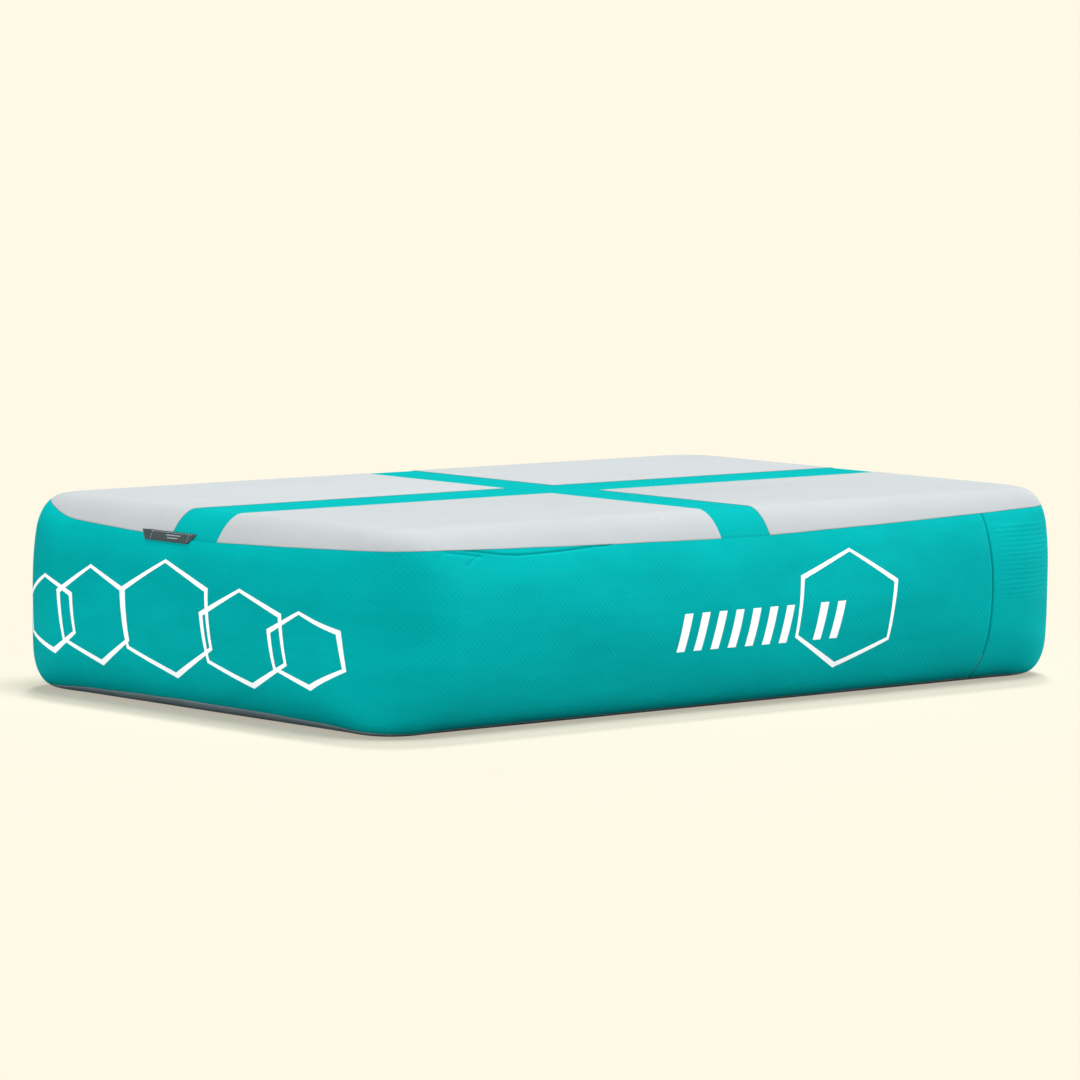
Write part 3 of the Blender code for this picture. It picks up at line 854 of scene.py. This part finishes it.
def band_piece(name, start, end, top_rows, row_step):
    """Band from its start, which lies under the other band, to its end, which laps over it."""
    s = band_places(start, end)
    tops, feet = angle_of(band_top(s)), angle_of(band_foot(s))
    fine = np.linspace(0, TOP_ZONE, top_rows)
    share = np.concatenate([fine, np.linspace(TOP_ZONE, 1, int(2 * ARC[-1] / row_step))[1:]])
    share = share[:, None]
    z = z_of(tops[None, :] * (1 - share) + feet[None, :] * share)
    ss = np.broadcast_to(s, z.shape)
    under = UNDER_BAND * (1 - smooth(*LAP_SLOPE, ss - start))
    under = under + (SEAM_GROOVE - UNDER_BAND) * hump(ss, start + SEAM_MIDDLE, SEAM_HALF)
    points = wall(ss, z, under - ribs(ss, z) + creases(ss, z))
    uv = np.stack([ss, arc_of(z)], -1)
    return add_piece(name, points, grid_faces(*z.shape), uv, "teal_pvc")


def cut_valve_hole(piece):
    """Opens the wall round the valve: faces inside go, and the edge is drawn onto the circle."""
    bm = bmesh.new()
    bm.from_mesh(piece.data)
    axis = HEIGHT / 2
    inside = {v for v in bm.verts
              if v.co.x > FLAT_L and math.hypot(v.co.y, v.co.z - axis) < WALL_HOLE_R}
    gone = [f for f in bm.faces if all(v in inside for v in f.verts)]
    bmesh.ops.delete(bm, geom=gone, context="FACES")
    for v in [v for v in bm.verts if v in inside and v.is_valid]:
        away = math.hypot(v.co.y, v.co.z - axis)
        v.co.y *= WALL_HOLE_R / away
        v.co.z = axis + (v.co.z - axis) * WALL_HOLE_R / away
    bmesh.ops.dissolve_degenerate(bm, dist=SAME_POINT, edges=bm.edges)
    bm.to_mesh(piece.data)
    bm.free()


def add_bands():
    """The left band has fine top rows for its creases, and the right one fine rows for its ribs."""
    left = band_piece("wall_left", BACK_SEAM, FRONT_SEAM + LOOP, 34, 2.6 * MM)
    right = band_piece("wall_right", FRONT_SEAM, BACK_SEAM, 3, 1.4 * MM)
    cut_valve_hole(right)
    for piece, node in ((left, "side_band_left"), (right, "side_band_right")):
        thicken(piece, SKIN, 0.3 * MM)
        stands_for(piece, "teal_pvc", node)


# ---------- top and bottom skins, field pads ----------

LOOP_PLACES = np.arange(0, LOOP, 5 * MM)
TOP_SKIN_ROWS = 40
TOP_CROWDING = 1.2
BOTTOM_SKIN_ROWS = 36
PAD_STEP = 4 * MM
PAD_ROWS = 30

# How far above and below a band's edge a skin goes from its own depth to the depth under the band
TOP_DIP = (1.2 * MM, 0.8 * MM)
FOOT_DIP = (0.2 * MM, 1.2 * MM)


def finish_skin(piece, slot, node):
    """Thickens a whole skin, whose rim is how far it goes round the edge, and hides the part it
    stands for.
    """
    thicken(piece, SKIN)
    stands_for(piece, slot, node)


def add_top_skin():
    """Whole top skin: it shows as the cross between the pads, and dips under the bands."""
    ends = angle_of(np.full_like(LOOP_PLACES, TOP_RIM_Z))
    share = np.linspace(0, 1, TOP_SKIN_ROWS)[:, None] ** TOP_CROWDING
    z = z_of(ends[None, :] * share)
    ss = np.broadcast_to(LOOP_PLACES, z.shape)
    edge = band_top(ss)
    dip = smooth(edge + TOP_DIP[0], edge - TOP_DIP[1], z)
    depth = TOP_DEPTH + (UNDER_BAND - TOP_DEPTH) * dip
    points = wall(ss, z, depth)
    rows, columns = z.shape
    faces = grid_faces(rows, columns, True)
    faces.append(list(range(columns)))
    piece = add_piece("top_skin", points, faces, points[..., :2], "teal_pvc_top")
    finish_skin(piece, "teal_pvc_top", "top_sheet")


def add_bottom_skin():
    """Dark underside, flat on the floor, whose rim tucks up behind the bands."""
    share = np.linspace(0, 1, BOTTOM_SKIN_ROWS)[:, None]
    top = angle_of(np.full_like(LOOP_PLACES, FOOT_RIM_Z))
    z = z_of(top[None, :] * (1 - share) + math.pi * share)
    ss = np.broadcast_to(LOOP_PLACES, z.shape)
    edge = np.broadcast_to(band_foot(LOOP_PLACES), z.shape)
    depth = UNDER_BAND * smooth(edge - FOOT_DIP[1], edge + FOOT_DIP[0], z)
    points = wall(ss, z, depth)
    rows, columns = z.shape
    faces = grid_faces(rows, columns, True)
    faces.append(list(range((rows - 1) * columns, rows * columns))[::-1])
    piece = add_piece("bottom_skin", points, faces, points[..., :2], "dark_pvc")
    finish_skin(piece, "dark_pvc", "bottom_sheet")


def pad_ends(sx, sy):
    """Loop places where a pad's outer edge starts and ends, at the two stripes."""
    half = STRIPE / 2
    mids = {(1, -1): (FRONT_MID, RIGHT_MID), (1, 1): (RIGHT_MID, BACK_MID),
            (-1, 1): (BACK_MID, LEFT_MID), (-1, -1): (LEFT_MID, FRONT_MID + LOOP)}
    start, end = mids[sx, sy]
    return start + half, end - half


def add_pad(name, node, sx, sy):
    """Quarter pad: flat field whose outer edges turn down over the rounded top edge."""
    start, end = pad_ends(sx, sy)
    s = places(start, end, PAD_STEP)
    z = z_of(np.linspace(0, 1, PAD_ROWS)[:, None] * angle_of(pad_edge(s))[None, :])
    points = wall(np.broadcast_to(s, z.shape), z)
    rows, columns = z.shape
    inner = np.array([[sx * STRIPE / 2, sy * STRIPE / 2, HEIGHT]])
    flat = np.concatenate([points.reshape(-1, 3), inner])
    faces = grid_faces(rows, columns)
    faces.append(list(range(columns)) + [rows * columns])
    piece = add_piece(name, flat, faces, flat[:, :2], "grey_pvc")
    thicken(piece, PAD_THICKNESS, 0.15 * MM)
    stands_for(piece, "grey_pvc", node)


def add_pads():
    for near, sy in (("front", -1), ("back", 1)):
        for hand, sx in (("left", -1), ("right", 1)):
            add_pad(f"pad_{near}_{hand}", f"field_pad_{near}_{hand}", sx, sy)


# ---------- prints ----------

PRINT_STAND = 0.16 * MM
PRINT_THICKNESS = 0.10 * MM
PRINT_STEP = 4 * MM

# Marks in mm: place along the wall from its middle, foot and top above the floor, width
LEFT_MARKS = ((-209, 45, 121, 80), (-137, 39, 136, 104), (-23, 37, 150, 130),
              (94, 38, 131, 118), (182, 45, 117, 92))
FRONT_MARK = (133, 35, 153, 136)
MARK_TILT = 6
PEN_WIDTHS = np.array([3.2, 5.2, 3.8, 5.8, 3.6, 5.0]) * MM

# Slanted bars: where they stand along the wall from its middle, in mm, and their size
BAR_SPOTS = (-108, -84, -60, -36, -12, 12, 36, 86, 110)
BAR_WIDTH = 11 * MM
BAR_LEAN = 9 * MM
BAR_LOW = 64 * MM
BAR_HIGH = 102 * MM


def pen_outline(corners, widths):
    """Closed outline drawn with a pen whose width changes: points and the quads between them."""
    corners, widths = np.asarray(corners), np.asarray(widths)[:, None]
    way_out = np.roll(corners, -1, 0) - corners
    sizes = np.linalg.norm(way_out, axis=1)
    along = way_out / sizes[:, None]
    after = np.stack([-along[:, 1], along[:, 0]], -1)
    before = np.roll(after, 1, 0)
    mitre = (after + before) / (1 + (after * before).sum(1, keepdims=True))
    outer, inner = corners - mitre * widths / 2, corners + mitre * widths / 2
    rows = []
    for i, size in enumerate(sizes):
        j = (i + 1) % len(corners)
        for t in np.linspace(0, 1, int(size / PRINT_STEP) + 2)[:-1]:
            rows.append((outer[i] * (1 - t) + outer[j] * t, inner[i] * (1 - t) + inner[j] * t))
    count = len(rows)
    quads = [(2 * i, 2 * ((i + 1) % count), 2 * ((i + 1) % count) + 1, 2 * i + 1)
             for i in range(count)]
    return np.array(rows).reshape(-1, 2), quads


def hexagon(middle, mark, tilt):
    """Outline mark on the wall whose middle is given, between its foot and its top."""
    along, foot, top, wide = (v * MM for v in mark)
    low, high = float(arc_of(foot)), float(arc_of(top))
    turns = np.radians(np.arange(6) * 60 + 90 + tilt)
    corners = np.stack([wide / 2 / math.cos(math.radians(30)) * np.cos(turns),
                        (high - low) / 2 * np.sin(turns)], -1)
    return pen_outline(corners + (middle + along, (low + high) / 2), PEN_WIDTHS)


def slanted_bar(start, low, high):
    """Bar that leans to the right, in short steps up the wall."""
    steps = int((high - low) / PRINT_STEP) + 2
    rise = np.linspace(0, 1, steps)
    left = np.stack([start + BAR_LEAN * rise, low + (high - low) * rise], -1)
    right = left + (BAR_WIDTH, 0)
    points = np.stack([left, right], 1).reshape(-1, 2)
    quads = [(2 * i, 2 * i + 1, 2 * i + 3, 2 * i + 2) for i in range(steps - 1)]
    return points, quads


def print_piece(name, shapes):
    """Shapes drawn in metres along and up the wall, laid on it as one thin print."""
    points, faces = [], []
    for shape, quads in shapes:
        faces += [tuple(i + len(points) for i in quad) for quad in quads]
        points += shape.tolist()
    flat = np.array(points)
    on_wall = wall(flat[:, 0], z_at(flat[:, 1]), -PRINT_STAND)
    piece = add_piece(name, on_wall, faces, flat, "print_white")
    thicken(piece, PRINT_THICKNESS)


def add_prints():
    print_piece("print_left", [hexagon(LEFT_MID, mark, MARK_TILT) for mark in LEFT_MARKS])
    low, high = float(arc_of(BAR_LOW)), float(arc_of(BAR_HIGH))
    bars = [slanted_bar(FRONT_MID + spot * MM, low, high) for spot in BAR_SPOTS]
    print_piece("print_front", bars + [hexagon(FRONT_MID, FRONT_MARK, -MARK_TILT)])


# ---------- label ----------

LABEL_THICKNESS = 0.7 * MM
LABEL_STAND = 1.1 * MM
LABEL_SLANT = 8 * MM
LABEL_NOTCH = 5 * MM
LABEL_FOLD = 13 * MM
LABEL_LOW_Z = 167.8 * MM
LABEL_HIGH_Z = 177.5 * MM
FOLD_STAND = 0.35 * MM
FOLD_THICKNESS = 0.3 * MM

# Woven lines, in mm: height above the label's lower edge and half the length
LABEL_LINES = ((6.4, 11), (3.6, 8))
LINE_SHIFT = 4
LINE_WIDTH = 1.1

STITCH_PITCH = 4 * MM
STITCH_LONG = 2.2 * MM
STITCH_TALL = 1.8 * MM
STITCH_HALF = 0.35 * MM
END_STITCHES = (2.5 * MM, 5.5 * MM, 8.5 * MM)


def label_strip(name, columns_at, low, high, stand, thickness, mat, row_count=9):
    """Thin strip on the wall, whose places along it are a function of the share of its height."""
    points, uv = [], []
    for share in np.linspace(1, 0, row_count):
        s = columns_at(share)
        arc = np.full_like(s, low + (high - low) * share)
        points.append(wall(s, z_at(arc), -stand))
        uv.append(np.stack([s, arc], -1))
    piece = add_piece(name, points, grid_faces(row_count, len(s)), uv, mat)
    thicken(piece, thickness, 0.15 * MM)
    return piece


def add_label():
    """Folded label over the pad's edge, with blank woven lines and stitches."""
    low_box, high_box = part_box("edge_tag")
    far, near = LEFT_MID - high_box.y + 6 * MM, LEFT_MID - low_box.y - 3 * MM
    low, high = float(arc_of(LABEL_LOW_Z)), float(arc_of(LABEL_HIGH_Z))

    def body(share):
        notch = LABEL_NOTCH * (1 - abs(2 * share - 0.9))
        return np.linspace(far + notch, near - LABEL_SLANT * (1 - share), 40)

    def fold(share):
        return np.linspace(far - LABEL_FOLD * 0.7 * share, far + LABEL_FOLD, 10)

    label = label_strip("edge_label", body, low, high, LABEL_STAND, LABEL_THICKNESS,
                        "tag_webbing")
    stands_for(label, "tag_webbing", "edge_tag")
    flap = label_strip("label_fold", fold, low + 1.5 * MM, high, FOLD_STAND, FOLD_THICKNESS,
                       "tag_webbing")
    middle = (far + near) / 2
    for i, (rise, half) in enumerate(LABEL_LINES):
        ends = middle + (LINE_SHIFT - half) * MM, middle + (LINE_SHIFT + half) * MM
        label_strip(f"label_line_{i}", lambda share: np.linspace(*ends, 12),
                    low + rise * MM, low + (rise + LINE_WIDTH) * MM,
                    LABEL_STAND + 0.12 * MM, 0.1 * MM, "label_thread", 3)
    add_stitches(far, near, low, high)


def add_stitches(far, near, low, high):
    """Short stitches that hold the label along its upper edge and its two ends."""
    row = np.arange(far + 8 * MM, near - 4 * MM, STITCH_PITCH)
    spots = [(s, high - 1.4 * MM, STITCH_LONG, 0.0) for s in row]
    for s in (far + 9 * MM, near - 10 * MM):
        spots += [(s, low + rise, 0.0, STITCH_TALL) for rise in END_STITCHES]
    points, faces, flat = [], [], []
    for s, arc, along, up in spots:
        wide, tall = max(along, 2 * STITCH_HALF) / 2, max(up, 2 * STITCH_HALF) / 2
        corners = ((-wide, -tall), (wide, -tall), (wide, tall), (-wide, tall))
        faces.append(tuple(range(len(points), len(points) + 4)))
        for ds, da in corners:
            flat.append((s + ds, arc + da))
            points.append(wall(s + ds, z_at(arc + da), -(LABEL_STAND + 0.25 * MM)).tolist())
    piece = add_piece("label_stitches", points, faces, flat, "label_thread")
    thicken(piece, 0.3 * MM, 0.1 * MM)


# ---------- valve ----------

COLLAR_INNER_R = 21.8 * MM
COLLAR_RIM = 0.6 * MM
COLLAR_FLUTES = (18, 0.9 * MM)

# Cap: heights of its rim above the seat, radii of its plug, and the clearance of its ring
CAP_UNDER = 5.7 * MM
CAP_TOP = 9.7 * MM
CUP_TOP = 6.2 * MM
PLUG_R = 16.9 * MM
CUP_R = 13.2 * MM
GROOVE_R = 15.3 * MM
RING_SPARE = 0.3 * MM
CAP_FLUTES = (36, 0.7 * MM)
FLUTE_RIM = 1.5 * MM

# Grip bars: length, width
CAP_GRIP = (36 * MM, 8 * MM)
BUTTON_GRIP = (8.6 * MM, 2.4 * MM)
GRIP_WAIST = 0.28
GRIP_NARROWING = 0.16
GRIP_ROWS = 9
GRIP_COLUMNS = 25

WIRE_R = 0.45 * MM
COIL_TURNS = 6.5
COIL_STEPS = 40
WIRE_SIDES = 12
COIL_EASE = 0.55


def reach_of(node):
    """Lowest and highest heights of a node above the valve's seat, and its radius."""
    low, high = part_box(node)
    return low.x - SEAT_X, high.x - SEAT_X, high.y


def turned(name, profile, mat, body, steps=144, flutes=None, edge=0.3 * MM):
    """Solid turned about the valve's axis; the profile runs down its outer side first."""
    profile = np.asarray(profile)
    angle = np.arange(steps) / steps * 2 * math.pi
    r = np.repeat(profile[:, :1], steps, 1)
    if flutes:
        count, deep, inner = flutes
        groove = np.maximum(0, np.cos(count * angle)) ** 2
        r = r - deep * groove[None, :] * (profile[:, :1] > inner)
    x = SEAT_X + np.repeat(profile[:, 1:], steps, 1)
    points = np.stack([x, r * np.cos(angle), HEIGHT / 2 + r * np.sin(angle)], -1)
    rows = len(profile)
    faces = grid_faces(rows, steps, True)
    if profile[0, 0] > 0:
        last = (rows - 1) * steps
        faces += [(last + i, i, (i + 1) % steps, last + (i + 1) % steps) for i in range(steps)]
    piece = add_piece(name, points, faces, points[..., 1:], mat, body)
    face_out(piece, SAME_POINT)
    if edge:
        soften(piece, edge)
    settle(piece, 30)
    return piece


def add_valve_patch():
    low, high, radius = reach_of("valve_patch")
    profile = [(radius - 0.5 * MM, high), (radius, low), (WALL_HOLE_R, low), (WALL_HOLE_R, high)]
    patch = turned("valve_patch_round", profile, "teal_pvc", "mat", edge=0.2 * MM)
    stands_for(patch, "teal_pvc", "valve_patch")


def add_valve_collar():
    low, high, radius = reach_of("valve_collar")
    inner, dish = COLLAR_INNER_R, high - COLLAR_RIM
    profile = [(radius - 1.2 * MM, high), (radius, high - 1.2 * MM), (radius, low), (inner, low),
               (inner, high), (inner + 2.6 * MM, high), (inner + 3 * MM, dish),
               (radius - 2.6 * MM, dish), (radius - 2.2 * MM, high)]
    collar = turned("valve_collar_ring", profile, "valve_plastic", "mat",
                    flutes=(*COLLAR_FLUTES, radius - FLUTE_RIM))
    stands_for(collar, "valve_plastic", "valve_collar")


def add_valve_cap():
    """Cap with a fluted rim, a dished top, a hollow plug and a bar to turn it by."""
    low, high, radius = reach_of("valve_cap")
    seal_low, seal_high, _ = reach_of("cap_seal")
    dish = CAP_TOP - 0.5 * MM
    ring_low, ring_high = seal_low - RING_SPARE, seal_high + RING_SPARE
    profile = [(0, dish), (radius - 4.5 * MM, dish), (radius - 3.9 * MM, CAP_TOP),
               (radius - 1.2 * MM, CAP_TOP), (radius, CAP_TOP - 1.2 * MM), (radius, CAP_UNDER),
               (PLUG_R, CAP_UNDER), (PLUG_R, ring_high), (GROOVE_R, ring_high),
               (GROOVE_R, ring_low), (PLUG_R, ring_low), (PLUG_R, low), (CUP_R, low),
               (CUP_R, CUP_TOP), (0, CUP_TOP)]
    cap = turned("valve_cap_cover", profile, "valve_plastic", "cap",
                 flutes=(*CAP_FLUTES, radius - FLUTE_RIM))
    stands_for(cap, "valve_plastic", "valve_cap")
    add_grip("cap_grip", CAP_GRIP, CAP_TOP - 0.9 * MM, high, "valve_plastic", "cap")


def add_grip(name, size, low, high, mat, body):
    """Bar with waisted sides and a rounded top, standing on the valve's axis."""
    tall, wide = size
    share = np.linspace(-1, 1, GRIP_COLUMNS)
    outline = [(z * tall / 2, 1 - GRIP_WAIST * (1 - z ** 2)) for z in share]
    points = []
    for i in range(GRIP_ROWS):
        lift = i / (GRIP_ROWS - 1)
        x = low + (high - low) * lift
        narrow = 1 - GRIP_NARROWING * lift ** 3
        ring = [(x, wide / 2 * w * narrow, z * narrow) for z, w in outline]
        ring += [(x, -wide / 2 * w * narrow, z * narrow) for z, w in reversed(outline)]
        points.append(ring)
    points = np.array(points) + (SEAT_X, 0, HEIGHT / 2)
    count = points.shape[1]
    last = (GRIP_ROWS - 1) * count
    faces = grid_faces(GRIP_ROWS, count, True)
    faces += [list(range(count)), list(range(last, last + count))[::-1]]
    piece = add_piece(name, points, faces, points[..., 1:], mat, body)
    face_out(piece)
    soften(piece, 0.5 * MM, 3)
    settle(piece, 35)


def add_push_button():
    low, high, radius = reach_of("push_button")
    deck = (low + high) / 2
    profile = [(0, deck - 0.4 * MM), (radius - 1.6 * MM, deck - 0.2 * MM),
               (radius, deck - 0.5 * MM), (radius, low), (0, low)]
    button = turned("valve_button", profile, "button_plastic", "button", steps=72)
    stands_for(button, "button_plastic", "push_button")
    add_grip("button_bar", BUTTON_GRIP, deck - 0.8 * MM, high, "button_plastic", "button")


def add_valve_spring():
    """Round wire coil with closed ends."""
    low, high, radius = reach_of("valve_spring")
    ring = radius - WIRE_R
    share = np.linspace(0, 1, int(COIL_TURNS * COIL_STEPS) + 1)
    climb = smooth(0, 1, share) * COIL_EASE + share * (1 - COIL_EASE)
    angle = 2 * math.pi * COIL_TURNS * share
    centre = low + WIRE_R + (high - low - 2 * WIRE_R) * climb
    line = np.stack([SEAT_X + centre, ring * np.cos(angle), HEIGHT / 2 + ring * np.sin(angle)], -1)
    along = np.gradient(line, axis=0)
    along /= np.linalg.norm(along, axis=1, keepdims=True)
    out = np.stack([np.zeros_like(angle), np.cos(angle), np.sin(angle)], -1)
    side = np.cross(along, out)
    turn = np.arange(WIRE_SIDES) / WIRE_SIDES * 2 * math.pi
    tube = line[:, None] + WIRE_R * (out[:, None] * np.cos(turn)[None, :, None]
                                     + side[:, None] * np.sin(turn)[None, :, None])
    last = (len(line) - 1) * WIRE_SIDES
    faces = grid_faces(len(line), WIRE_SIDES, True)
    faces += [list(range(WIRE_SIDES)), list(range(last, last + WIRE_SIDES))]
    spring = add_piece("valve_coil", tube, faces, tube[..., 1:], "spring_steel")
    face_out(spring)
    stands_for(spring, "spring_steel", "valve_spring")
    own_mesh(spring)


KEPT_NODES = {
    "valve_housing": "valve_plastic",
    "poppet_stem": "valve_plastic",
    "valve_poppet": "button_plastic",
    "valve_gasket": "seal_rubber",
    "poppet_seal": "seal_rubber",
    "cap_seal": "seal_rubber",
    "drop_stitch_core": "core_yarn",
}


def dress_kept_nodes():
    for name, mat in KEPT_NODES.items():
        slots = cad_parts[name].data.materials
        slots.clear()
        slots.append(MATS[mat])


# ---------- build ----------

add_camera()
add_world()
add_floor()
for sun in SUNS:
    add_sun(*sun)
SCENE.view_settings.view_transform = "Standard"

add_bands()
add_top_skin()
add_bottom_skin()
add_pads()
add_prints()
add_label()
add_valve_patch()
add_valve_collar()
add_valve_cap()
add_push_button()
add_valve_spring()
dress_kept_nodes()
